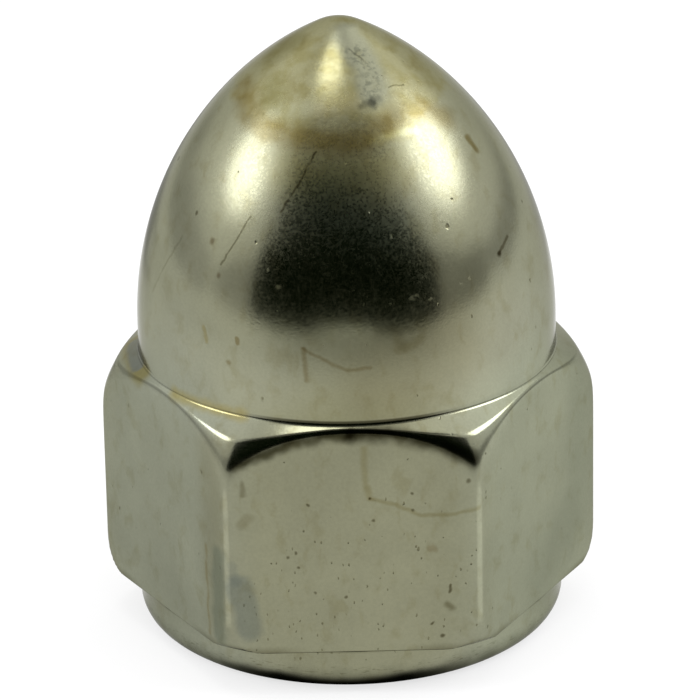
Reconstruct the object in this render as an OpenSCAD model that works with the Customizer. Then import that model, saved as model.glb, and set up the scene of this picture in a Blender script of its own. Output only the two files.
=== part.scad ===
// Cap nut with a bullet-shaped dome, a rolled hexagon and a round washer collar, formed in one piece.
// Z is the thread axis. The origin is the middle of the seating face, and one flat faces -Y.

/* [Hexagon] */
// Width across the flats
across_flats = 17; // [15:0.5:22]
// Radius of the upright edges between the flats
corner_r = 0.5; // [0.2:0.1:1.2]
// Height of the line where the dome rises out of the hexagon
root_z = 11.3; // [9:0.1:13]

/* [Upper shoulder] */
// Fall of the cone round the foot of the dome, in degrees below level
shoulder_angle = 33; // [25:1:50]
// Radius of the curve that rounds each corner below the cone
shoulder_r = 5.2; // [5:0.1:12]
// Fall from the foot of the dome to where that curve meets the upright edge
shoulder_drop = 3; // [2:0.1:4.5]
// Plan radius of the curved bevel along the top of each flat
bevel_plan_r = 16; // [12:0.5:20]
// Steepness of the bevel, in degrees below level
bevel_angle = 62; // [55:1:72]
// How far the bevel reaches in from the middle of a flat
bevel_inset = 0.1; // [0.06:0.01:0.14]

/* [Lower edge] */
// Radius of the curve under each corner
lower_r = 2.5; // [2:0.1:4]
// Height over which the curve under each corner runs
lower_rise = 1.7; // [1.2:0.1:1.9]

/* [Washer collar] */
// Height of the collar from the seating face to the underside of the hexagon
collar_h = 1.8; // [1.4:0.1:2.6]
// How far the collar lies inside the flats
collar_inset = 0.05; // [0.03:0.01:0.6]
// Radius of the collar's rounded lower edge
collar_edge_r = 1; // [0.3:0.1:1.3]

/* [Dome] */
// Height of the whole nut
overall_h = 24.8; // [22:0.1:30]
// How far the foot of the dome lies inside the flats
dome_inset = 0.26; // [0.22:0.02:0.6]
// Height of the straight stretch at the foot of the dome
dome_straight_h = 1.2; // [0.4:0.1:2.4]
// Radius of the rounded tip
tip_r = 2; // [0.6:0.1:3]
// Radius of the fillet between the foot of the dome and the cone
root_fillet_r = 0.25; // [0.1:0.01:0.28]

/* [Thread] */
// Nominal diameter of the thread
thread_d = 10; // [6:0.5:11]
// Pitch of the thread
thread_pitch = 1.5; // [1:0.25:2]
// Included angle of the drill point at the blind end
drill_point_angle = 118; // [90:1:140]
// Solid metal between the drill point and the tip
crown_wall = 6.2; // [5.5:0.1:9]
// How much wider than the thread the countersink is at the seating face
countersink_extra = 0.4; // [0.1:0.1:1]
// Included angle of the countersink
countersink_angle = 120; // [90:5:130]

/* [Hidden] */
$fn = 128;
flats = 6;
// Overlap that lets one solid run cleanly through another
eps = 0.5;
// Clearance that keeps the corner curves from grazing the upright edges
graze = 0.05;

flat_r = across_flats / 2;
corner_centre_r = (flat_r - corner_r) / cos(180 / flats);
envelope_r = corner_centre_r + corner_r + graze;

collar_r = flat_r - collar_inset;
dome_r = flat_r - dome_inset;
dome_start_z = root_z + dome_straight_h;
// Distance from the root line to where its fillet leaves the dome and the cone
fillet_reach = root_fillet_r * tan((90 - shoulder_angle) / 2);

// The flank is the arc that leaves the straight stretch upright and meets the round tip at a tangent
flank_h = overall_h - dome_start_z;
flank_r = (pow(flank_h - tip_r, 2) + dome_r * dome_r - tip_r * tip_r) / (2 * (dome_r - tip_r));
flank_x = dome_r - flank_r;
tip_z = overall_h - tip_r;
tangent_z = tip_z + (tip_z - dome_start_z) * tip_r / (flank_r - tip_r);

// The bevel's cone stands off the thread axis, on the far side from its flat
bevel_z = root_z - (dome_inset - bevel_inset) * tan(shoulder_angle);
bevel_offset = flat_r - bevel_inset - bevel_plan_r;

bore_r = (thread_d - thread_pitch) / 2;
drill_point_h = bore_r / tan(drill_point_angle / 2);
bore_top_z = overall_h - crown_wall - drill_point_h;
countersink_r = (thread_d + countersink_extra) / 2;
countersink_h = (countersink_r - bore_r) / tan(countersink_angle / 2);

cap_nut();

module cap_nut() {
    color([0.64, 0.63, 0.54])
    difference() {
        union() {
            hexagon_body();
            rotate_extrude() collar_profile();
            rotate_extrude() dome_profile();
            rotate_extrude() fillet_profile();
        }
        threaded_bore();
    }
}

// Hexagonal body: a rounded prism, turned top and bottom, with a bevel along the top of each flat
module hexagon_body() {
    intersection() {
        rounded_prism();
        rotate_extrude() turned_profile();
        intersection_for (i = [0 : flats - 1]) rotate(i * 360 / flats) bevel_cone();
    }
}

module rounded_prism() {
    edge = corner_centre_r;
    linear_extrude(height = root_z + eps) {
        // Each flat is one side of the outline, and each upright edge is a circle set into a corner
        polygon([for (i = [0 : flats - 1], side = [-1, 1])
            let (turn = i * 360 / flats, along = side * edge * sin(180 / flats))
            [flat_r * sin(turn) + along * cos(turn), -flat_r * cos(turn) + along * sin(turn)]]);
        for (i = [0 : flats - 1])
            rotate((i + 0.5) * 360 / flats) translate([0, -edge]) circle(corner_r);
    }
}

// Half section of the turned envelope: level underside, curved corners, and the cone up to the dome
module turned_profile() {
    fall = (envelope_r - dome_r + eps) * tan(shoulder_angle);
    intersection() {
        polygon([
            [0, collar_h],
            [envelope_r + eps, collar_h],
            [envelope_r + eps, root_z - fall],
            [dome_r, root_z],
            [0, root_z],
        ]);
        upright_or_arc(lower_r, collar_h + lower_rise, 1);
        upright_or_arc(shoulder_r, root_z - shoulder_drop, -1);
    }
}

// Region inside the envelope's radius on one side of a level, and inside an arc beyond it
module upright_or_arc(radius, level, side) {
    intersection() {
        union() {
            translate([envelope_r - radius, level]) circle(radius);
            translate([0, side > 0 ? level : level - overall_h]) square([envelope_r, overall_h]);
        }
        translate([0, -overall_h]) square([envelope_r + eps, 3 * overall_h]);
    }
}

module bevel_cone() {
    span = root_z + eps;
    above = span - bevel_z;
    translate([0, -bevel_offset])
        cylinder(
            h = span,
            r1 = bevel_plan_r + bevel_z / tan(bevel_angle),
            r2 = bevel_plan_r - above / tan(bevel_angle)
        );
}

module collar_profile() {
    square([collar_r - collar_edge_r, collar_h + eps]);
    translate([0, collar_edge_r]) square([collar_r, collar_h + eps - collar_edge_r]);
    translate([collar_r - collar_edge_r, collar_edge_r]) circle(collar_edge_r);
}

module dome_profile() {
    translate([0, root_z - eps]) square([dome_r, dome_straight_h + eps]);
    intersection() {
        translate([flank_x, dome_start_z]) circle(flank_r);
        translate([0, dome_start_z]) square([dome_r, tangent_z - dome_start_z]);
    }
    intersection() {
        translate([0, tip_z]) circle(tip_r);
        translate([0, tangent_z]) square([tip_r, tip_r]);
    }
}

// Half section of the fillet, with its lower part sunk into the hexagon
module fillet_profile() {
    cone_x = dome_r + fillet_reach * cos(shoulder_angle);
    cone_z = root_z - fillet_reach * sin(shoulder_angle);
    difference() {
        polygon([
            [dome_r - eps, root_z + fillet_reach],
            [dome_r, root_z + fillet_reach],
            [cone_x, cone_z],
            [dome_r - eps, cone_z],
        ]);
        translate([dome_r + root_fillet_r, root_z + fillet_reach]) circle(root_fillet_r);
    }
}

module threaded_bore() {
    translate([0, 0, -eps]) cylinder(h = bore_top_z + eps, r = bore_r);
    translate([0, 0, bore_top_z]) cylinder(h = drill_point_h, r1 = bore_r, r2 = 0);
    slope = (countersink_r - bore_r) / countersink_h;
    translate([0, 0, -eps])
        cylinder(h = countersink_h + eps, r1 = countersink_r + eps * slope, r2 = bore_r);
}
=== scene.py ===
"""Looks of the cap nut: one smooth mesh with its rolled edges and thread, worn plating with some painted shade and
highlights, a studio with painted shadows on its floor, and a camera.
"""
import math

import bpy
import numpy as np
from mathutils import Matrix, Vector


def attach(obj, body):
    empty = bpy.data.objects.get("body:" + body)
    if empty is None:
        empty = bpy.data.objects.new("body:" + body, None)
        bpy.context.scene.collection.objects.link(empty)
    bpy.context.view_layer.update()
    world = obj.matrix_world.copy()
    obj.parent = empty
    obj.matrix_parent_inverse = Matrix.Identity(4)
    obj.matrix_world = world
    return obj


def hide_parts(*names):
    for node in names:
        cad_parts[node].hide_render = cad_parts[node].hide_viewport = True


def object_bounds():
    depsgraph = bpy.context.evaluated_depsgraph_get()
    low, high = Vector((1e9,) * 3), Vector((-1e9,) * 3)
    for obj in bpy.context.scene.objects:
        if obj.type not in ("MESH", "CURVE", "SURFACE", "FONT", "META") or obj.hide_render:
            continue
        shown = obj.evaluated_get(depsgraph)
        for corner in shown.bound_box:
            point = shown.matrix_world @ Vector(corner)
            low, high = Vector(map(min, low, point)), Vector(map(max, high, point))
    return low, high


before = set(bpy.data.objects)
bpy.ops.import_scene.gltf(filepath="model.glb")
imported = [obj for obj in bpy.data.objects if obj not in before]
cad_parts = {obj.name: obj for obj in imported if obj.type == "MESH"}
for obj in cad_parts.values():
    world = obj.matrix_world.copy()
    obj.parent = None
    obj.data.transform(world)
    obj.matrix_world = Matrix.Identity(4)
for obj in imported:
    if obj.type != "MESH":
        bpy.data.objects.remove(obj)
cad_low, cad_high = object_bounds()

# Lengths are in millimetres until a mesh, light or camera is made
MM = 0.001
LIGHT_CENTRE = 17
CARD_DISTANCE = 320
FLATS = 6
SECTOR = math.tau / FLATS

# Hexagon
FLAT_R = (cad_high.y - cad_low.y) / 2 / MM
HEIGHT = cad_high.z / MM
CORNER_ROUND = 0.5
CORNER_CENTRE_R = (FLAT_R - CORNER_ROUND) / math.cos(SECTOR / 2)
CORNER_R = CORNER_CENTRE_R + CORNER_ROUND
ROOT_Z = 11.3

# Washer collar and the curve under each corner
COLLAR_R = FLAT_R - 0.05
COLLAR_EDGE = 1.0
COLLAR_TOP = 1.8
LEDGE_R = 9.09
LEDGE_RISE = 1.8
LEDGE_ROUND = 2.4
EDGE_FILLET = 0.08

# Dome: straight foot, flank arc and round tip
DOME_R = FLAT_R - 0.26
DOME_STRAIGHT = 1.2
TIP_R = 2.0
TIP_LEAN = 0.11
FLANK_Z = ROOT_Z + DOME_STRAIGHT
TIP_Z = HEIGHT - TIP_R
FLANK_R = ((TIP_Z - FLANK_Z) ** 2 + DOME_R**2 - TIP_R**2) / (2 * (DOME_R - TIP_R))
FLANK_X = DOME_R - FLANK_R
FLANK_END = math.atan2(TIP_Z - FLANK_Z, -FLANK_X)

# Shoulder: a cone round the dome's foot, and flats that roll over to meet it at a crease
CONE_ANGLE = math.radians(33)
ROLL_MIDDLE = 0.07
ROLL_CORNER = 0.58
ROLL_POWER = 1.9
ROLL_SLOPE = 0.525
ROLL_BLEND = 0.3
ROLL_TAIL = 0.05
ROLL_TAIL_REACH = 0.42
CREASE_ROUND = 0.04
CREASE_ROUND_CORNER = 0.15
ROOT_FILLET = 0.2
FILLET_REACH = ROOT_FILLET * math.tan((math.pi / 2 - CONE_ANGLE) / 2)

# Thread, cut outwards from the tapping bore
THREAD_R = 5.0
PITCH = 1.5
BORE_R = THREAD_R - PITCH / 2
COUNTERSINK_R = THREAD_R + 0.2
COUNTERSINK_H = (COUNTERSINK_R - BORE_R) / math.tan(math.radians(60))
DRILL_H = BORE_R / math.tan(math.radians(59))
CROWN_WALL = 6.2
BORE_TOP = HEIGHT - CROWN_WALL - DRILL_H
THREAD_RUNOUT = 1.2

# Mesh density
FLAT_COLUMNS = 80
BORE_SHARE = 4
COLUMNS = FLATS * FLAT_COLUMNS


def smoothstep(value):
    value = np.clip(value, 0, 1)
    return value * value * (3 - 2 * value)


def azimuths():
    """Column directions, closer together at the upright edges. Zero faces -Y, the middle of a flat."""
    across = (np.arange(FLAT_COLUMNS) + 0.5) / FLAT_COLUMNS * 2 - 1
    eased = 0.45 * across + 0.55 * np.sin(across * math.pi / 2)
    return np.concatenate([(flat + eased / 2) * SECTOR for flat in range(FLATS)])


def hexagon_radius(azimuth):
    """Radius of the hexagon with round upright edges."""
    off = np.abs((azimuth + SECTOR / 2) % SECTOR - SECTOR / 2)
    flat = FLAT_R / np.cos(off)
    to_corner = SECTOR / 2 - off
    reach = np.maximum(CORNER_ROUND**2 - (CORNER_CENTRE_R * np.sin(to_corner)) ** 2, 0)
    arc = CORNER_CENTRE_R * np.cos(to_corner) + np.sqrt(reach)
    edge_start = math.atan2((FLAT_R - CORNER_ROUND) * math.tan(SECTOR / 2), FLAT_R)
    return np.where(off > edge_start, arc, flat)


def dome_section(steps):
    """Radius and height up the straight foot, the flank and the tip."""
    foot = ROOT_Z + FILLET_REACH
    points = [(DOME_R, foot + (FLANK_Z - foot) * step / 4) for step in range(1, 5)]
    for angle in np.linspace(0, FLANK_END, steps)[1:]:
        points.append((FLANK_X + FLANK_R * math.cos(angle), FLANK_Z + FLANK_R * math.sin(angle)))
    for angle in np.linspace(FLANK_END, math.pi / 2, steps // 3)[1:-1]:
        points.append((TIP_R * math.cos(angle), TIP_Z + TIP_R * math.sin(angle)))
    return points


def dome_radius(height):
    """Radius of the dome at a height."""
    if height > TIP_Z + TIP_R * math.sin(FLANK_END):
        return math.sqrt(max(TIP_R**2 - (height - TIP_Z) ** 2, 0))
    rise = max(height - FLANK_Z, 0)
    return FLANK_X + math.sqrt(FLANK_R**2 - rise**2)


def outer_rings(azimuth):
    """Rings of (radius, height) from the seating face up to just below the tip."""
    ones = np.ones_like(azimuth)
    prism = hexagon_radius(azimuth)
    rings = []

    def ring(radius, height):
        rings.append((radius * ones, height * ones))

    ring(COUNTERSINK_R + 0.5, 0)
    ring(COLLAR_R - COLLAR_EDGE - 0.15, 0)
    for angle in np.radians(np.linspace(-90, 0, 12)):
        ring(COLLAR_R - COLLAR_EDGE * (1 - math.cos(angle)), COLLAR_EDGE * (1 + math.sin(angle)))
    ring(COLLAR_R, COLLAR_TOP - 0.04)
    ring(COLLAR_R + 0.01, COLLAR_TOP)

    share = (prism - FLAT_R) / (CORNER_R - FLAT_R)
    roll = ROLL_MIDDLE + (ROLL_CORNER - ROLL_MIDDLE) * share**ROLL_POWER
    crease_r = prism - roll - ROLL_TAIL
    crease_z = ROOT_Z - math.tan(CONE_ANGLE) * (crease_r - DOME_R)

    def side(height):
        """Radius of the hexagon's side at a height, with its rolled ends."""
        depth = crease_z - height
        past = (1 - depth * ROLL_SLOPE / roll) / ROLL_BLEND
        rolled = prism - roll * np.log1p(np.exp(past)) / math.log1p(math.exp(1 / ROLL_BLEND))
        rolled -= ROLL_TAIL * np.exp(-depth / ROLL_TAIL_REACH)
        up = np.clip((height - COLLAR_TOP) / LEDGE_RISE, 0, 1)
        under = LEDGE_R + (CORNER_R + 0.01 - LEDGE_R) * (1 - (1 - up) ** LEDGE_ROUND) ** (1 / LEDGE_ROUND)
        fillet = np.clip(1 - (height - COLLAR_TOP) / EDGE_FILLET, 0, 1)
        return np.minimum(rolled, under) - EDGE_FILLET * (1 - np.sqrt(1 - fillet**2))

    low_heights = [0, 0.005, 0.02, 0.045, 0.08, 0.14, 0.25, 0.4, 0.6, 0.85, 1.15, 1.5, 1.9]
    for rise in low_heights:
        height = (COLLAR_TOP + rise) * ones
        rings.append((side(height), height))
    start = COLLAR_TOP + low_heights[-1]
    reach = CREASE_ROUND + (CREASE_ROUND_CORNER - CREASE_ROUND) * share
    below = crease_z - reach
    for step in (1 - np.linspace(1, 0, 38)[1:] ** 1.9):
        height = start + (below - start) * step
        rings.append((side(height), height))
    below_r = side(below)
    above_r = crease_r - reach * math.cos(CONE_ANGLE)
    above_z = crease_z + reach * math.sin(CONE_ANGLE)
    for step in np.linspace(0, 1, 7)[1:]:
        near, middle, far = (1 - step) ** 2, 2 * step * (1 - step), step**2
        rings.append((near * below_r + middle * crease_r + far * above_r,
                      near * below + middle * crease_z + far * above_z))

    cone_end_r = DOME_R + FILLET_REACH * math.cos(CONE_ANGLE)
    cone_end_z = ROOT_Z - FILLET_REACH * math.sin(CONE_ANGLE)
    for step in (0.25, 0.5, 0.75, 1):
        rings.append((above_r + (cone_end_r - above_r) * step, above_z + (cone_end_z - above_z) * step))
    for angle in np.linspace(-math.pi / 2 - CONE_ANGLE, -math.pi, 8)[1:]:
        ring(DOME_R + ROOT_FILLET * (1 + math.cos(angle)), ROOT_Z + FILLET_REACH + ROOT_FILLET * math.sin(angle))
    for radius, height in dome_section(44):
        ring(radius, height)
    return rings


def bore_rings(azimuth):
    """Rings from the mouth of the countersink up the thread to just below the drill point."""
    ones = np.ones_like(azimuth)
    rings = [(COUNTERSINK_R * ones, 0 * ones)]
    per_pitch = 18
    steps = round((BORE_TOP - 0.05) / PITCH * per_pitch)
    for step in range(1, steps + 1):
        height = BORE_TOP * step / steps
        turn = (height / PITCH - azimuth / math.tau) % 1
        flank = np.clip((np.abs(turn - 0.5) - 0.0625) / 0.3125, 0, 1)
        depth = (THREAD_R - BORE_R) * (1 - flank) * smoothstep((BORE_TOP - height) / THREAD_RUNOUT)
        cone = COUNTERSINK_R - height * (COUNTERSINK_R - BORE_R) / COUNTERSINK_H
        rings.append((np.maximum(BORE_R + depth, cone), height * ones))
    for step in (0.3, 0.6, 0.9):
        rings.append((BORE_R * (1 - step) * ones, (BORE_TOP + DRILL_H * step) * ones))
    return rings


def ring_points(rings, azimuth):
    points = []
    for radius, height in rings:
        points.append(np.stack([radius * np.sin(azimuth), -radius * np.cos(azimuth), height], 1))
    points = np.concatenate(points)
    points[:, 0] -= lean(points[:, 2])
    return points


def lean(height):
    """How far the dome stands off the axis at a height, towards -X."""
    return TIP_LEAN * np.clip((height - ROOT_Z) / (HEIGHT - ROOT_Z), 0, 1) ** 1.5


def grid_faces(first, rings, columns, outward):
    """Quads between neighbouring rings, whose points start at index first."""
    faces = []
    for row in range(rings - 1):
        low = first + row * columns
        for column in range(columns):
            beside = (column + 1) % columns
            quad = (low + column, low + beside, low + columns + beside, low + columns + column)
            faces.append(quad if outward else quad[::-1])
    return faces


def fan_faces(centre, first, columns, outward):
    faces = []
    for column in range(columns):
        triangle = (first + column, first + (column + 1) % columns, centre)
        faces.append(triangle if outward else triangle[::-1])
    return faces


def seat_faces(outer, inner, bore_columns):
    """Joins the coarse ring of the countersink's mouth to the fine ring of the seating face."""
    faces = []
    for column in range(bore_columns):
        beside = (column + 1) % bore_columns
        fine = [outer + (column * BORE_SHARE + step) % COLUMNS for step in range(BORE_SHARE + 1)]
        for step in range(BORE_SHARE):
            faces.append((inner + column, fine[step + 1], fine[step]))
        faces.append((inner + column, inner + beside, fine[-1]))
    return faces


def nut_object():
    """The whole nut as one closed mesh, in metres."""
    fine = azimuths()
    coarse = fine[::BORE_SHARE]
    outside = outer_rings(fine)
    inside = bore_rings(coarse)
    tip = len(outside) * COLUMNS
    bore_start = tip + 1
    bore_columns = len(coarse)
    drill = bore_start + len(inside) * bore_columns
    points = np.concatenate([
        ring_points(outside, fine),
        [[-TIP_LEAN, 0, HEIGHT]],
        ring_points(inside, coarse),
        [[0, 0, BORE_TOP + DRILL_H]],
    ]) * MM
    faces = grid_faces(0, len(outside), COLUMNS, True)
    faces += fan_faces(tip, tip - COLUMNS, COLUMNS, True)
    faces += seat_faces(0, bore_start, bore_columns)
    faces += grid_faces(bore_start, len(inside), bore_columns, False)
    faces += fan_faces(drill, drill - bore_columns, bore_columns, False)
    mesh = bpy.data.meshes.new("cap_nut_skin")
    mesh.from_pydata(points.tolist(), [], faces)
    mesh.shade_smooth()
    mesh.set_sharp_from_angle(angle=math.radians(24))
    nut = bpy.data.objects.new("cap_nut_skin", mesh)
    bpy.context.scene.collection.objects.link(nut)
    return nut


def add_node(tree, kind, inputs=None, **settings):
    """A shader node with its settings, and its inputs set or linked by name or number."""
    made = tree.nodes.new(kind)
    for name, value in settings.items():
        setattr(made, name, value)
    for name, value in (inputs or {}).items():
        if isinstance(value, bpy.types.NodeSocket):
            tree.links.new(value, made.inputs[name])
        else:
            made.inputs[name].default_value = value
    return made


class Graph:
    """Builds one material from the object's own coordinates in millimetres. Inputs are numbers, tuples or outputs."""

    def __init__(self, tree):
        self.tree = tree
        position = add_node(tree, "ShaderNodeTexCoord").outputs["Object"]
        self.place = self.vector("SCALE", position, scale=1 / MM)

    def maths(self, operation, *values):
        return add_node(self.tree, "ShaderNodeMath", dict(enumerate(values)), operation=operation).outputs[0]

    def vector(self, operation, *values, scale=None):
        inputs = dict(enumerate(values))
        if scale is not None:
            inputs["Scale"] = scale
        made = add_node(self.tree, "ShaderNodeVectorMath", inputs, operation=operation)
        return made.outputs["Value" if operation in ("DISTANCE", "DOT_PRODUCT", "LENGTH") else "Vector"]

    def noise(self, scale, detail=2.0, place=None, output="Fac"):
        inputs = {"Vector": place or self.place, "Scale": scale, "Detail": detail}
        return add_node(self.tree, "ShaderNodeTexNoise", inputs).outputs[output]

    def step(self, value, low, high, start=0.0, end=1.0):
        """Goes smoothly from start to end while the value goes from low to high."""
        inputs = {"Value": value, "From Min": low, "From Max": high, "To Min": start, "To Max": end}
        return add_node(self.tree, "ShaderNodeMapRange", inputs, interpolation_type="SMOOTHSTEP").outputs["Result"]

    def warped(self, scale, amount):
        """The place, pushed about by noise, for outlines that aren't ruled."""
        wander = self.vector("SUBTRACT", self.noise(scale, output="Color"), (0.5, 0.5, 0.5))
        return self.vector("ADD", self.place, self.vector("SCALE", wander, scale=2 * amount))

    def distance(self, place, points):
        """Distance from a point or a line of points."""
        if len(points) == 1:
            return self.vector("DISTANCE", place, points[0])
        nearest = None
        for start, end in zip(points, points[1:]):
            along = Vector(end) - Vector(start)
            offset = self.vector("SUBTRACT", place, tuple(start))
            share = self.vector("DOT_PRODUCT", offset, tuple(along / along.length_squared))
            held = add_node(self.tree, "ShaderNodeClamp", {"Value": share}).outputs[0]
            apart = self.vector("DISTANCE", offset, self.vector("SCALE", tuple(along), scale=held))
            nearest = apart if nearest is None else self.maths("MINIMUM", nearest, apart)
        return nearest

    def mark(self, place, points, radius, softness, strength=1.0):
        """Strength inside a line or spot, and nothing outside it."""
        inner = radius * (1 - softness)
        return self.step(self.distance(place, points), inner, radius * (1 + softness), strength, 0.0)

    def tint(self, colour, factor, by):
        """Multiplies a colour by another where the factor is 1."""
        made = add_node(self.tree, "ShaderNodeMix", {"Factor": factor, "A": colour, "B": (*by, 1)},
                        data_type="RGBA", blend_type="MULTIPLY", clamp_result=False)
        return made.outputs["Result"]


def on_dome(azimuth, height):
    """A point on the dome, from the photograph's azimuth in degrees and height."""
    radius = dome_radius(height)
    turn = math.radians(azimuth)
    return (radius * math.sin(turn) - float(lean(height)), -radius * math.cos(turn), height)


def on_front(x, height):
    return (x, -FLAT_R, height)


def on_left(azimuth, height):
    """A point on the flat left of the front one."""
    turn = math.radians(azimuth)
    radius = FLAT_R / math.cos(turn + SECTOR)
    return (radius * math.sin(turn), -radius * math.cos(turn), height)


def on_right(azimuth, height):
    """A point on the flat right of the front one."""
    x, y, z = on_left(-azimuth, height)
    return (-x, y, z)


# Stains and scratches of the photograph, with some painted light and shade among them: points, half width, softness,
# strength and tint
BROWN = (0.6, 0.5, 0.33)
DARK = (0.3, 0.27, 0.2)
GREY_BLUE = (0.71, 0.75, 0.83)
GOLDEN_RING = [
    (-76, 22.5), (-61, 22.2), (-48, 21.85), (-38, 21.7), (-27, 21.6), (-17, 21.55),
    (-6, 21.5), (6, 21.5), (14.5, 21.7), (24.5, 22.0), (34, 22.2), (48, 22.1), (56, 21.6),
]
STAINS_AND_PAINTED_LIGHT = [
    ([on_front(0, 8), on_front(0, 4)], 4.8, 0.3, 1.0, (0.85, 0.83, 0.75)),
    ([on_left(-60, 8), on_left(-60, 4)], 4.6, 0.3, 1.0, (0.92, 0.94, 0.97)),
    ([on_left(-50, 3), on_left(-86, 4.5), on_left(-86, 9)], 1.4, 0.8, 0.8, (0.9, 0.9, 0.9)),
    ([on_right(60, 8), on_right(60, 4)], 4.8, 0.3, 1.0, (1.04, 1.07, 1.06)),
    ([on_right(62, 3), on_right(85, 5), on_right(86, 10)], 1.6, 0.8, 1.0, (0.84, 0.85, 0.85)),
    ([on_left(-36, 10), on_left(-34, 3)], 0.8, 0.8, 0.6, (0.8, 0.76, 0.68)),
    ([on_dome(26, 13.9), on_dome(12, 13.2)], 1.7, 0.6, 0.9, (0.9, 0.87, 0.82)),
    ([on_dome(30, 15.2), on_dome(46, 14.2)], 1.4, 0.7, 0.6, (0.88, 0.86, 0.83)),
    # Painted light: the lower left side of the dome is made lighter and bluer
    ([on_dome(-66, 12.6), on_dome(-24, 12.6)], 1.9, 0.8, 1.0, (1.07, 1.08, 1.13)),
    ([on_dome(-50, 22.95), on_dome(-42, 22.6)], 0.5, 0.8, 0.9, (0.78, 0.77, 0.66)),
    ([on_dome(-80, 23.6), on_dome(-74, 24.0)], 0.6, 0.8, 0.9, (0.74, 0.72, 0.6)),
    ([on_dome(23, 21.95), on_dome(27, 22.05)], 0.4, 0.8, 0.9, (0.78, 0.77, 0.76)),
    ([on_dome(-42, 22.15), on_dome(-30, 22.35), on_dome(-20, 22.4)], 0.35, 0.8, 0.9, (1.1, 1.13, 1.22)),
    ([on_dome(-10, 22.5), on_dome(5, 22.7)], 0.4, 0.8, 0.8, (1.12, 1.1, 1.12)),
    ([on_dome(34, 22.2), on_dome(41, 22.3)], 0.4, 0.8, 1.0, (1.0, 1.06, 1.25)),
    ([on_dome(-14, 20.6), on_dome(11, 20.6)], 1.1, 0.95, 1.0, (0.95, 0.9, 0.66)),
    # Painted shade: dark lines widen the dark crescent at the top of the front flat
    ([on_front(-4.5, 9.75), on_front(-3.4, 10.25), on_front(-1.9, 10.8), on_front(0, 11.02)],
     0.22, 0.95, 1.0, (0.22, 0.21, 0.16)),
    ([on_front(0, 11.02), on_front(1.5, 10.98), on_front(3.1, 10.62), on_front(4.65, 9.85)],
     0.28, 0.95, 1.0, (0.18, 0.17, 0.13)),
    ([on_dome(17, 22.6)], 0.22, 0.7, 0.9, (0.35, 0.36, 0.38)),
    ([on_dome(-14, 16.5), on_dome(12, 16.5)], 1.5, 0.8, 1.0, (0.55, 0.57, 0.5)),
    ([on_dome(-5, 19.6), on_dome(2, 18.9), on_dome(9, 18.3)], 1.3, 0.9, 1.0, (0.72, 0.79, 0.8)),
    ([on_dome(10, 22.55), on_dome(24, 22.7)], 0.12, 0.9, 0.7, (0.5, 0.5, 0.5)),
    ([on_dome(61.5, 20.75), on_dome(62.5, 20.3)], 0.15, 0.6, 0.9, (0.55, 0.46, 0.26)),
    ([on_dome(12, 15.0), on_dome(14.5, 14.4)], 0.2, 0.9, 0.4, (0.6, 0.57, 0.46)),
    ([on_dome(8, 15.1), on_dome(17, 14.9)], 0.16, 0.95, 0.3, (0.6, 0.58, 0.48)),
    ([on_dome(15, 14.3), on_dome(20, 14.5)], 0.16, 0.9, 0.6, (0.7, 0.66, 0.52)),
    ([on_front(-4.7, 5.6), on_front(-4.55, 4.9)], 0.2, 0.6, 0.5, GREY_BLUE),
    ([on_front(-4.45, 4.7), on_front(-4.2, 4.0), on_front(-4.05, 2.9)], 0.5, 0.4, 0.95, GREY_BLUE),
    ([on_left(-33, 5.8), on_left(-33.4, 2.5)], 0.42, 0.5, 0.9, (0.72, 0.78, 0.82)),
    ([on_left(-38, 5.9), on_left(-37.8, 2.2)], 0.1, 0.7, 0.8, (0.84, 0.76, 0.62)),
    ([on_front(-4.2, 7.35), on_front(-4.0, 7.55)], 0.2, 0.7, 0.7, (0.76, 0.73, 0.66)),
    ([on_front(-4.2, 9.1), on_front(-4.12, 8.6)], 0.1, 0.8, 0.7, (0.55, 0.52, 0.44)),
    ([on_front(2.95, 6.2), on_front(3.1, 6.2)], 0.16, 0.6, 0.7, (0.74, 0.66, 0.56)),
    ([on_front(3.6, 3.75), on_front(3.75, 3.55)], 0.14, 0.9, 0.8, (0.5, 0.47, 0.38)),
    ([on_front(3.72, 4.6), on_front(3.68, 4.3)], 0.07, 0.6, 0.9, DARK),
    ([on_front(3.4, 2.45)], 0.09, 0.6, 0.9, DARK),
    ([on_front(3.05, 3.0)], 0.06, 0.6, 0.9, DARK),
    ([on_front(4.47, 9.05)], 0.1, 0.5, 0.9, DARK),
]
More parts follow.
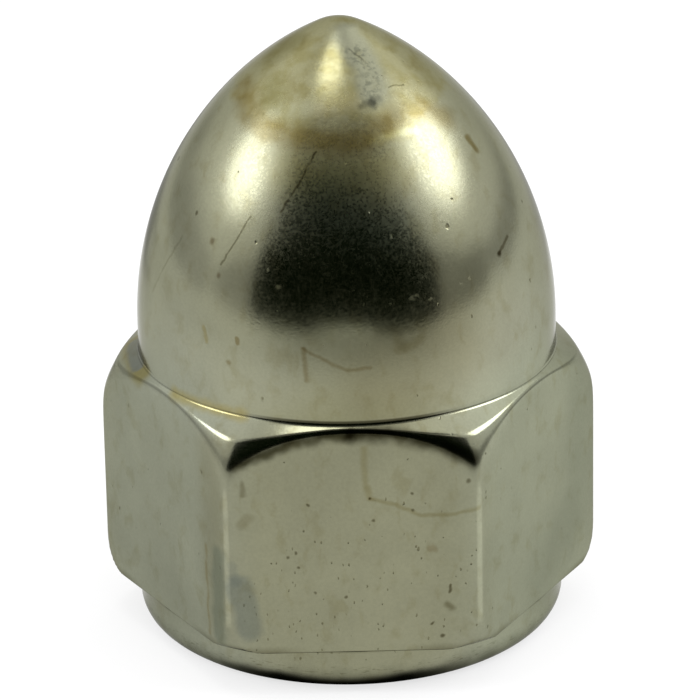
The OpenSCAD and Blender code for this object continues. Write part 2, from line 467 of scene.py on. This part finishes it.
SCRATCHES_AND_GLINT = [
    ([on_dome(-11.5, 21.2), on_dome(-17, 20.15), on_dome(-22, 19.2)], 0.045, 0.6, 0.85, DARK),
    ([on_dome(-32.4, 18.9), on_dome(-35.4, 18.1), on_dome(-39.6, 17.0)], 0.035, 0.6, 0.8, (0.4, 0.38, 0.3)),
    ([on_dome(-58.5, 17.4), on_dome(-63, 16.25), on_dome(-68.7, 14.8)], 0.045, 0.9, 0.5, (0.6, 0.58, 0.5)),
    ([on_dome(33, 22.95), on_dome(45, 22.9)], 0.035, 0.7, 0.8, (0.4, 0.38, 0.3)),
    ([on_dome(12.7, 24.1), on_dome(23.4, 23.8)], 0.035, 0.7, 0.7, (0.4, 0.4, 0.38)),
    # Painted glint: a lighter line along the lower edge of the golden film
    ([on_dome(12.8, 21.47), on_dome(19.8, 21.57), on_dome(26.6, 21.62), on_dome(36, 21.58)],
     0.14, 0.9, 1.0, (1.35, 1.4, 1.45)),
    ([on_dome(-12.3, 14.35), on_dome(-11.4, 13.1)], 0.1, 0.8, 0.6, BROWN),
    ([on_dome(-12.3, 14.35), on_dome(-5, 13.85), on_dome(-0.5, 13.55), on_dome(5.6, 13.65)], 0.07, 0.8, 0.55, BROWN),
    ([on_dome(57, 17.2), on_dome(51, 16.8)], 0.07, 0.6, 0.8, (0.4, 0.36, 0.28)),
    ([on_dome(51, 16.78)], 0.12, 0.5, 0.9, DARK),
    ([on_dome(-42.9, 14.5), on_dome(-41.5, 14.0)], 0.09, 0.7, 0.7, (0.8, 0.7, 0.45)),
    ([on_dome(-55.2, 18.4)], 0.09, 0.5, 0.8, DARK),
    ([on_dome(-44.9, 17.7)], 0.12, 0.6, 0.8, (0.5, 0.42, 0.34)),
    ([on_dome(-39.8, 16.6)], 0.1, 0.6, 0.75, (0.5, 0.42, 0.34)),
    ([on_dome(-33.9, 13.4)], 0.1, 0.7, 0.6, BROWN),
    ([on_dome(-31.5, 14.4), on_dome(-31.3, 14.25)], 0.09, 0.5, 0.8, BROWN),
    ([on_front(0.48, 10.4), on_front(0.51, 8.85), on_front(0.7, 8.35)], 0.12, 0.9, 0.7, (0.8, 0.75, 0.6)),
    ([on_front(0.7, 8.35), on_front(1.65, 8.05), on_front(2.66, 7.55), on_front(3.94, 7.62), on_front(4.96, 7.85)],
     0.08, 0.9, 0.7, (0.74, 0.69, 0.54)),
]


# Single dark pits on the front flat: how far right of its middle, and height
DOTS = [
    (-2.2, 6.1), (-2.5, 5.95), (-2.1, 5.5), (-1.5, 4.4), (-0.3, 4.2),
    (0.7, 8.36), (2.3, 8.5), (2.3, 7.8), (0.8, 7.4), (-1.7, 8.1),
]


# Bright nicks low on the front of the dome: azimuth, height and radius
NICKS = [
    (-20.0, 16.6, 0.1), (-23.6, 17.16, 0.05), (7.5, 17.74, 0.035), (18.5, 16.11, 0.09),
    (20.0, 16.16, 0.06), (23.8, 15.96, 0.06), (-19.8, 15.72, 0.04), (1.7, 16.6, 0.03),
    (4.4, 16.04, 0.035), (12.0, 16.0, 0.04), (37.4, 16.36, 0.06), (34.3, 16.24, 0.05),
]


def root_point(azimuth):
    turn = math.radians(azimuth)
    return (DOME_R * math.sin(turn), -DOME_R * math.cos(turn), ROOT_Z)


def pits(graph, scale, radius, share):
    """Round pits scattered in the plating. The share of cells that hold one is a number or an output."""
    place = graph.vector("MULTIPLY", graph.warped(6.0, 0.07), (1.3, 1.0, 0.75))
    inputs = {"Vector": place, "Scale": scale}
    cells = add_node(graph.tree, "ShaderNodeTexVoronoi", inputs)
    luck = add_node(graph.tree, "ShaderNodeSeparateColor", {"Color": cells.outputs["Color"]})
    chosen = graph.maths("LESS_THAN", luck.outputs["Red"], share)
    reach = graph.maths("MULTIPLY_ADD", luck.outputs["Green"], radius * scale, radius * scale * 0.5)
    near = graph.maths("DIVIDE", cells.outputs["Distance"], reach)
    return graph.maths("MULTIPLY", chosen, graph.step(near, 0.45, 1.2, 1.0, 0.0))


def plating_material():
    """Nickel plating gone dull: tarnish, stains, pits and scratches where the photograph shows them, with painted
    shade, painted highlights and patches of painted light among them.
    """
    material = bpy.data.materials.new("aged_nickel")
    material.use_nodes = True
    tree = material.node_tree
    shader = tree.nodes["Principled BSDF"]
    graph = Graph(tree)
    soft_place = graph.warped(1.3, 0.22)
    fine_place = graph.warped(3.0, 0.08)
    torn_place = graph.warped(9.0, 0.12)
    axes = add_node(tree, "ShaderNodeSeparateXYZ", {"Vector": graph.place}).outputs
    off_axis = graph.vector("LENGTH", graph.vector("MULTIPLY", graph.place, (1, 1, 0)))
    cloud = graph.noise(0.35, 3.0)
    grain = graph.noise(9.0, 3.0)

    brightness = graph.maths("ADD", graph.step(cloud, 0.3, 0.7, 0.93, 1.04), graph.step(grain, 0.3, 0.7, -0.03, 0.03))
    grey = add_node(tree, "ShaderNodeCombineXYZ", {0: brightness, 1: brightness, 2: brightness}).outputs[0]
    colour = graph.vector("MULTIPLY", grey, (0.283, 0.289, 0.209))
    smears = graph.noise(1.2, 6.0, place=graph.vector("MULTIPLY", graph.warped(0.8, 0.5), (1.6, 1.0, 0.8)))
    colour = graph.tint(colour, graph.step(smears, 0.5, 0.72), (0.9, 0.88, 0.82))
    across = graph.maths("ABSOLUTE", axes["X"])
    upper = graph.step(axes["Z"], 11.3, 11.6)
    colour = graph.tint(colour, graph.maths("MULTIPLY", upper, graph.step(across, 7.0, 4.0, 0.3, 1.0)), (1.02, 1.0, 0.92))
    # Painted light: the lower right side of the dome is made lighter
    cheek_light = graph.maths("MULTIPLY", graph.step(axes["X"], 2.0, 5.0), graph.step(axes["Z"], 16.0, 14.0))
    colour = graph.tint(colour, graph.maths("MULTIPLY", cheek_light, upper), (1.12, 1.13, 1.18))

    # Golden film on the top of the dome, browner in a ring along its lower edge, worn off right of the tip
    spread = graph.maths("MULTIPLY", axes["X"], axes["X"])
    wave = graph.step(graph.noise(0.8, 3.0), 0.25, 0.75, -0.3, 0.3)
    above = graph.maths("SUBTRACT", graph.maths("ADD", axes["Z"], wave), graph.maths("MULTIPLY_ADD", spread, 0.045, 21.3))
    worn = graph.mark(soft_place, [on_dome(17, 24.5), on_dome(25, 23.5), on_dome(22, 22.9)], 0.65, 0.5)
    film = graph.maths("MULTIPLY", graph.step(above, -0.1, 0.4), graph.maths("SUBTRACT", 1.0, worn))
    blotches = graph.noise(1.2, 5.0)
    ring = graph.mark(soft_place, [on_dome(azimuth, height) for azimuth, height in GOLDEN_RING], 0.46, 0.75)
    colour = graph.tint(colour, film, (1.02, 0.98, 0.83))
    colour = graph.tint(colour, graph.maths("MULTIPLY", film, graph.step(blotches, 0.42, 0.66)), (0.86, 0.83, 0.7))
    colour = graph.tint(colour, graph.maths("MULTIPLY", ring, graph.step(blotches, 0.3, 0.6, 0.7, 1.1)), (0.76, 0.69, 0.55))
    colour = graph.tint(colour, worn, (0.94, 0.95, 0.98))
    etched = graph.mark(soft_place, [on_dome(20, 24.0), on_dome(24, 23.4), on_dome(17, 22.7)], 0.42, 0.8)
    etched = graph.maths("MULTIPLY", etched, graph.step(graph.noise(5.0, 6.0), 0.45, 0.65, 0.15, 1.0))
    colour = graph.tint(colour, etched, (0.62, 0.63, 0.64))

    for points, radius, softness, strength, by in STAINS_AND_PAINTED_LIGHT:
        colour = graph.tint(colour, graph.mark(soft_place, points, radius, softness, strength), by)
    for points, radius, softness, strength, by in SCRATCHES_AND_GLINT:
        colour = graph.tint(colour, graph.mark(fine_place, points, radius, softness, strength), by)

    # Yellow tarnish on the root line, and a rainbow spot where it meets the left corner
    yellow = [root_point(azimuth) for azimuth in range(-54, -24, 6)]
    colour = graph.tint(colour, graph.mark(soft_place, yellow, 0.25, 0.9, 0.9), (1.0, 0.86, 0.5))
    rim = [(-8.5, 0.8, 11.2), (-8.35, -0.5, 11.2), (-8.05, -2.5, 11.2)]
    core = [(-8.5, 0.6, 11.2), (-8.4, -0.5, 11.2), (-8.2, -1.8, 11.2)]
    colour = graph.tint(colour, graph.mark(fine_place, rim, 0.5, 0.5), (0.8, 0.7, 0.42))
    colour = graph.tint(colour, graph.mark(fine_place, core, 0.32, 0.4), (0.78, 0.92, 1.75))

    # Painted shade in the root of the dome on the front, along the ledge, under the corners and darkening towards the
    # bottom edge; dark specks of dirt on the collar
    # Painted shade: a dark line in the root of the dome, on the front only
    front = graph.step(axes["Y"], -8.0, -7.0, 0.9, 0.0)
    root = graph.step(graph.maths("ABSOLUTE", graph.maths("SUBTRACT", axes["Z"], ROOT_Z + 0.1)), 0.03, 0.1, 1.0, 0.0)
    root = graph.maths("MULTIPLY", root, graph.step(off_axis, DOME_R + 0.04, DOME_R + 0.08, 1.0, 0.0))
    colour = graph.tint(colour, graph.maths("MULTIPLY", root, front), (0.2, 0.19, 0.15))
    # Painted shade: a dark line along the ledge above the collar
    ledge_shade = graph.step(graph.maths("ABSOLUTE", graph.maths("SUBTRACT", axes["Z"], COLLAR_TOP)), 0.02, 0.1, 0.35, 0.0)
    colour = graph.tint(colour, ledge_shade, (0.45, 0.42, 0.34))
    # Painted shade under the corners, just above the ledge
    under = graph.maths("MULTIPLY", graph.step(axes["Z"], COLLAR_TOP, COLLAR_TOP + 0.4, 1.0, 0.0),
                        graph.step(axes["Z"], COLLAR_TOP - 0.02, COLLAR_TOP))
    under = graph.maths("MULTIPLY", under, graph.step(off_axis, 8.6, 9.1, 0.0, 0.75))
    colour = graph.tint(colour, under, (0.5, 0.48, 0.42))
    # Painted shade: darker towards the bottom edge all round, with a ragged top
    bottom_shade_height = graph.maths("ADD", axes["Z"], graph.step(graph.noise(1.6, 5.0), 0.3, 0.7, -0.1, 0.1))
    outside = graph.step(off_axis, 6.0, 7.0)
    worked = {"Value": bottom_shade_height, "From Min": 0.05, "From Max": 1.25, "To Min": 1.0, "To Max": 0.0}
    gradient = add_node(tree, "ShaderNodeMapRange", worked, interpolation_type="LINEAR").outputs["Result"]
    bottom_shade = graph.maths("MULTIPLY", graph.maths("POWER", gradient, 1.4), outside)
    colour = graph.tint(colour, bottom_shade, (0.04, 0.045, 0.03))
    streaks = graph.noise(3.0, 4.0, place=graph.vector("MULTIPLY", graph.place, (1.0, 1.0, 5.0)))
    specks = graph.maths("MULTIPLY", graph.step(streaks, 0.56, 0.68), graph.mark(graph.place, [(0, 0, 0.6)], 8.5, 0.05))
    band = graph.step(graph.maths("ABSOLUTE", graph.maths("SUBTRACT", axes["Z"], 0.95)), 0.1, 0.25, 1.0, 0.0)
    colour = graph.tint(colour, graph.maths("MULTIPLY", specks, band), (0.5, 0.48, 0.4))

    # Pits, most of them low on the front flat
    pitted = graph.mark(graph.place, [on_front(-1.6, 4.0), on_front(2.2, 4.6)], 3.0, 0.6, 0.3)
    small_pits = pits(graph, 3.6, 0.05, graph.maths("MULTIPLY_ADD", pitted, 1.6, 0.02))
    large_pits = pits(graph, 1.6, 0.08, graph.maths("MULTIPLY_ADD", pitted, 0.8, 0.03))
    marks = graph.maths("MAXIMUM", small_pits, large_pits)
    colour = graph.tint(colour, graph.maths("MULTIPLY", marks, 0.7), (0.42, 0.39, 0.29))
    for x, height in DOTS:
        colour = graph.tint(colour, graph.mark(fine_place, [on_front(x, height)], 0.06, 0.6, 0.8), DARK)

    # Painted highlight along the upright edges: lighter colour down the middle of each round, fading out at the bottom
    edge_highlight = graph.maths("MULTIPLY", graph.step(off_axis, 9.712, 9.737), graph.step(axes["Z"], 2.3, 3.6))
    edge_highlight = graph.maths("MULTIPLY", edge_highlight, graph.step(graph.noise(1.4, 4.0), 0.3, 0.6, 0.6, 1.0))
    colour = graph.tint(colour, edge_highlight, (1.32, 1.32, 1.34))
    tree.links.new(colour, shader.inputs["Base Color"])

    # Frosted, speckled patch where the dome faces the viewer, and a few bright nicks in it
    patch = graph.maths("MULTIPLY", graph.step(axes["Z"], 13.5, 18.8), graph.step(axes["Z"], 22.5, 20.8))
    middle = graph.maths("MULTIPLY", graph.step(across, 5.5, 2.5), graph.step(axes["Y"], 0.0, -2.0))
    patch = graph.maths("MULTIPLY", patch, middle)
    grit = graph.step(graph.noise(4.5, 8.0), 0.42, 0.7, 0.0, 0.045)
    grit = graph.maths("MULTIPLY", graph.maths("MULTIPLY", grit, middle), graph.step(axes["Z"], 12.0, 14.0))
    dull = graph.step(graph.noise(10.5, 4.0), 0.3, 0.7)
    speckle = graph.maths("MULTIPLY", dull, patch)
    sheen = graph.maths("ADD", graph.step(axes["Z"], 17.0, 20.2, 0.0, 0.08), graph.step(axes["Z"], 11.25, 11.55, 0.02, 0.0))
    rough = graph.maths("ADD", graph.maths("ADD", sheen, graph.step(cloud, 0.3, 0.7, 0.14, 0.17)),
                        graph.maths("MULTIPLY", speckle, 0.12))
    nicks = pits(graph, 2.4, 0.03, graph.mark(graph.place, [on_dome(-18, 16.3), on_dome(26, 16.2)], 1.8, 0.5, 0.3))
    for azimuth, height, radius in NICKS:
        nicks = graph.maths("MAXIMUM", nicks, graph.mark(torn_place, [on_dome(azimuth, height)], radius, 0.9))
    rough = graph.maths("ADD", graph.maths("ADD", rough, grit), graph.maths("MULTIPLY", nicks, 0.2))
    # The painted shade at the bottom edge also makes it rougher
    rough = graph.maths("ADD", rough, graph.maths("MULTIPLY", bottom_shade, 0.25))
    tree.links.new(rough, shader.inputs["Roughness"])

    # Fine orange peel, coarser on the frosted patch, and the pits sunk in
    facing = graph.mark(soft_place, [on_dome(-20, 16.4), on_dome(25, 16.4)], 5.0, 0.6)
    facing = graph.maths("MAXIMUM", facing, graph.step(axes["Z"], 11.2, 9.4, 1.0, 0.0))
    peel = graph.maths("MULTIPLY_ADD", graph.noise(6.0, 3.0), 0.0014,
                       graph.maths("MULTIPLY", graph.noise(11.0, 4.0), graph.maths("MULTIPLY", facing, 0.0016)))
    height = graph.maths("SUBTRACT", peel, graph.maths("MULTIPLY", marks, 0.01))
    bump = add_node(tree, "ShaderNodeBump", {"Height": height, "Strength": 1.0, "Distance": MM})
    tree.links.new(bump.outputs[0], shader.inputs["Normal"])

    shader.inputs["Metallic"].default_value = 1.0
    shader.inputs["Specular Tint"].default_value = (0.6, 0.6, 0.56, 1)
    return material


def area_light(name, azimuth, elevation, distance, size, strength, colour=(1, 1, 1)):
    """A soft box that faces the nut. Its radiance is strength."""
    data = bpy.data.lights.new(name, "AREA")
    data.shape = "ELLIPSE"
    data.size = size[0] * MM
    data.size_y = size[1] * MM
    data.energy = strength * math.pi * math.pi / 4 * data.size * data.size_y
    data.color = colour
    light = bpy.data.objects.new(name, data)
    direction = from_angles(azimuth, elevation)
    light.location = (Vector((0, 0, LIGHT_CENTRE)) + direction * distance) * MM
    light.rotation_euler = direction.to_track_quat("Z", "Y").to_euler()
    bpy.context.scene.collection.objects.link(light)
    return light


def from_angles(azimuth, elevation):
    """Unit vector towards an azimuth from -Y towards +X and an elevation, both in degrees."""
    turn, rise = math.radians(azimuth), math.radians(elevation)
    return Vector((math.sin(turn) * math.cos(rise), -math.cos(turn) * math.cos(rise), math.sin(rise)))


def background_share(tree):
    """1 for the rays that show the background: camera, glossy and transmission rays."""
    path = add_node(tree, "ShaderNodeLightPath")
    seen = add_node(tree, "ShaderNodeMath", {0: path.outputs["Is Camera Ray"], 1: path.outputs["Is Glossy Ray"]},
                    operation="MAXIMUM")
    return add_node(tree, "ShaderNodeMath", {0: seen.outputs[0], 1: path.outputs["Is Transmission Ray"]},
                    operation="MAXIMUM").outputs[0]


def studio_world():
    world = bpy.data.worlds.new("studio")
    bpy.context.scene.world = world
    world.use_nodes = True
    world.node_tree.nodes["Background"].inputs["Color"].default_value = (1, 1, 1, 1)
    world.node_tree.nodes["Background"].inputs["Strength"].default_value = 1.0


def plane_object(name, corners):
    mesh = bpy.data.meshes.new(name)
    mesh.from_pydata([tuple(value * MM for value in corner) for corner in corners], [], [range(len(corners))])
    plane = bpy.data.objects.new(name, mesh)
    bpy.context.scene.collection.objects.link(plane)
    return plane


def pale_floor():
    reach = 1500
    floor = plane_object("floor", [(-reach, -reach, 0), (reach, -reach, 0), (reach, reach, 0), (-reach, reach, 0)])
    material = bpy.data.materials.new("pale_floor")
    material.use_nodes = True
    tree = material.node_tree
    tree.nodes.remove(tree.nodes["Principled BSDF"])
    matt = add_node(tree, "ShaderNodeBsdfDiffuse", {"Color": (0.3, 0.3, 0.3, 1)})
    glow = add_node(tree, "ShaderNodeEmission", {"Color": (1, 1, 1, 1), "Strength": 0.7})
    lit = add_node(tree, "ShaderNodeAddShader", {0: matt.outputs[0], 1: glow.outputs[0]})
    mixed = add_node(tree, "ShaderNodeMixShader",
                     {0: background_share(tree), 1: matt.outputs[0], 2: lit.outputs[0]})
    tree.links.new(mixed.outputs[0], tree.nodes["Material Output"].inputs["Surface"])
    floor.data.materials.append(material)


def soft_sheet(name, colour, columns, shares):
    """A glowing sheet, seen only in reflections. A column is a list of points, and shares say how solid each is."""
    rows = len(columns[0])
    points = [point * MM for column in columns for point in column]
    faces = []
    for column in range(len(columns) - 1):
        for row in range(rows - 1):
            first = column * rows + row
            faces.append((first, first + rows, first + rows + 1, first + 1))
    mesh = bpy.data.meshes.new(name)
    mesh.from_pydata(points, [], faces)
    mesh.attributes.new("share", "FLOAT", "POINT").data.foreach_set("value", shares)
    sheet = bpy.data.objects.new(name, mesh)
    bpy.context.scene.collection.objects.link(sheet)
    sheet.data.materials.append(fading_glow(name, colour))
    hide_from_camera(sheet)


def fading_glow(name, colour):
    """Glows where the share attribute is 1 and is clear where it is 0."""
    material = bpy.data.materials.new(name)
    material.use_nodes = True
    tree = material.node_tree
    tree.nodes.remove(tree.nodes["Principled BSDF"])
    share = add_node(tree, "ShaderNodeAttribute", attribute_name="share").outputs["Fac"]
    eased = add_node(tree, "ShaderNodeMapRange", {"Value": share}, interpolation_type="SMOOTHSTEP").outputs["Result"]
    clear = add_node(tree, "ShaderNodeBsdfTransparent")
    glow = add_node(tree, "ShaderNodeEmission", {"Color": (*colour, 1), "Strength": 1.0})
    mixed = add_node(tree, "ShaderNodeMixShader", {0: eased, 1: clear.outputs[0], 2: glow.outputs[0]})
    tree.links.new(mixed.outputs[0], tree.nodes["Material Output"].inputs["Surface"])
    return material


def curved_card(name, colour, fade, spans):
    """A card round the nut. A span is azimuth, low and high angle, and fade is half the angle over which it fades."""
    columns = []
    shares = []
    for azimuth, low, high in spans:
        inset = min(fade, (high - low) / 2)
        angles = (low - fade, low + inset, high - inset, high + fade)
        columns.append([from_angles(azimuth, angle) * CARD_DISTANCE + Vector((0, 0, LIGHT_CENTRE)) for angle in angles])
        solid = 0.0 if azimuth in (spans[0][0], spans[-1][0]) else 1.0
        shares += [0.0, solid, solid, 0.0]
    soft_sheet(name, colour, columns, shares)


def hide_from_camera(thing):
    """Leaves a stage object to reflections alone."""
    thing.visible_camera = False
    thing.visible_diffuse = False
    thing.visible_shadow = False


def floor_mat_or_shadow(name, colour, height, arcs, reaches):
    """A stretch of the floor round the nut, seen only in reflections: a grey mat or a painted shadow. Azimuths and
    distances say how solid it is.
    """
    columns = []
    shares = []
    for azimuth, solid in arcs:
        direction = from_angles(azimuth, 0)
        columns.append([direction * reach + Vector((0, 0, height)) for reach, share in reaches])
        shares += [share * solid for reach, share in reaches]
    soft_sheet(name, colour, columns, shares)


def camera():
    """The photograph's view: distance, height, turn and lean fitted to the nut's outline."""
    distance = 204.7
    elevation = 22.67
    azimuth = -0.54
    roll = -1.09
    aim = Vector((0, 0, 12.6))
    pixel = 0.03939
    centre_x, centre_y = 3.5, 39.7
    frame_px = 700
    back = from_angles(azimuth, elevation)
    eye = aim + back * distance
    data = bpy.data.cameras.new("camera")
    data.sensor_width = 36
    data.lens = data.sensor_width * distance / (frame_px * pixel)
    data.clip_start = 0.01
    shot = bpy.data.objects.new("camera", data)
    bpy.context.scene.collection.objects.link(shot)
    look = back.to_track_quat("Z", "Y").to_matrix()
    side, up = look.col[0], look.col[1]
    turned = Matrix.Rotation(math.radians(roll), 3, back)
    side, up = turned @ side, turned @ up
    aim_shift = aim + side * centre_x * pixel - up * centre_y * pixel
    towards = (eye - aim_shift).normalized()
    right = up.cross(towards).normalized()
    upright = towards.cross(right)
    rotation = Matrix((right, upright, towards)).transposed()
    shot.matrix_world = Matrix.Translation(eye * MM) @ rotation.to_4x4()
    bpy.context.scene.camera = shot


nut = nut_object()
nut.data.materials.append(plating_material())
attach(nut, "root")
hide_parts("cap_nut")

studio_world()
pale_floor()
curved_card("front_card", (0.004, 0.01, 0.002), 1.3, [
    (-58, 4, 7), (-54, -1.5, 12), (-50, -2.5, 30), (-47, -1.5, 44), (-40, -2.5, 50), (-22, -2.5, 50), (-13, -0.5, 50),
    (-5, 0.5, 50), (4, 0.5, 50), (12, -0.5, 50), (20, -2.5, 49.5), (30, -3, 48), (40, -3, 43), (46, -2.5, 37),
    (51, -2, 25), (55, -1.5, 16), (60, -0.5, 11), (66, 3, 6),
])
curved_card("left_dim_card", (0.52, 0.52, 0.52), 3, [
    (-88, 1, 4), (-72, -1, 10), (-58, -3, 15), (-46, -3, 16.5),
])
curved_card("right_dim_card", (0.38, 0.38, 0.37), 3, [
    (46, -3, 22), (56, -3, 19), (72, -2, 12), (84, -1, 10), (96, 3, 6),
])
curved_card("upper_card", (0.25, 0.25, 0.25), 1, [
    (-57, 49, 54), (-52, 43, 58), (-40, 49, 69), (0, 49, 72), (30, 48, 71), (55, 47, 64), (61, 51, 58),
])
curved_card("left_low_card", (0.66, 0.66, 0.66), 2, [
    (-160, 1, 4), (-145, -4, 8), (-112, -7, 10), (-88, -3, 8), (-76, 1, 5),
])
curved_card("right_low_card", (0.5, 0.5, 0.5), 2, [
    (76, 3, 5), (92, 1, 7.5), (106, -1, 8), (120, -1, 7), (136, -1, 5), (150, 1, 4),
])
# Painted shadow: a grey sheet on the floor in front of the nut for the camera side's shade, seen only in reflections
floor_mat_or_shadow("painted_camera_shadow", (0.56, 0.56, 0.54), 0.1, (
    (-145, 0.0), (-125, 0.35), (-95, 0.4), (-50, 0.4), (-20, 0.85), (0, 1.0), (20, 0.85), (55, 0.4), (85, 0.0),
), ((16, 0.0), (84, 1.0), (CARD_DISTANCE + 60, 1.0)))
floor_mat_or_shadow("back_mat", (0.4, 0.4, 0.4), 0.1, (
    (132, 0.0), (150, 0.4), (168, 0.7), (188, 0.85), (212, 0.7), (234, 0.0),
), ((43, 0.0), (54, 1.0), (80, 1.0), (120, 0.0)))
# Painted shadow: a near-black sheet on the floor round the front of the collar, seen only in reflections
floor_mat_or_shadow("painted_contact_shadow", (0.005, 0.006, 0.005), 0.01, (
    (-60, 0.0), (-48, 0.2), (-34, 0.7), (-22, 1.0), (14, 1.0), (24, 0.7), (34, 0.25), (46, 0.0),
), ((1, 1.0), (COLLAR_R, 1.0), (COLLAR_R + 1, 0.0)))
area_light("left_softbox", -84, 34.2, 300, (150, 114), 4.3, (1, 1, 1.08))
area_light("left_glow", -98, 40, 290, (340, 280), 0.3)
area_light("right_softbox", 88, 37, 300, (186, 134), 4.3, (1, 1, 1.08))
area_light("right_glow", 102, 50, 290, (360, 280), 0.5)
area_light("overhead_softbox", -95, 83, 300, (100, 95), 4.0)
camera()

scene = bpy.context.scene
scene.view_settings.view_transform = "Standard"
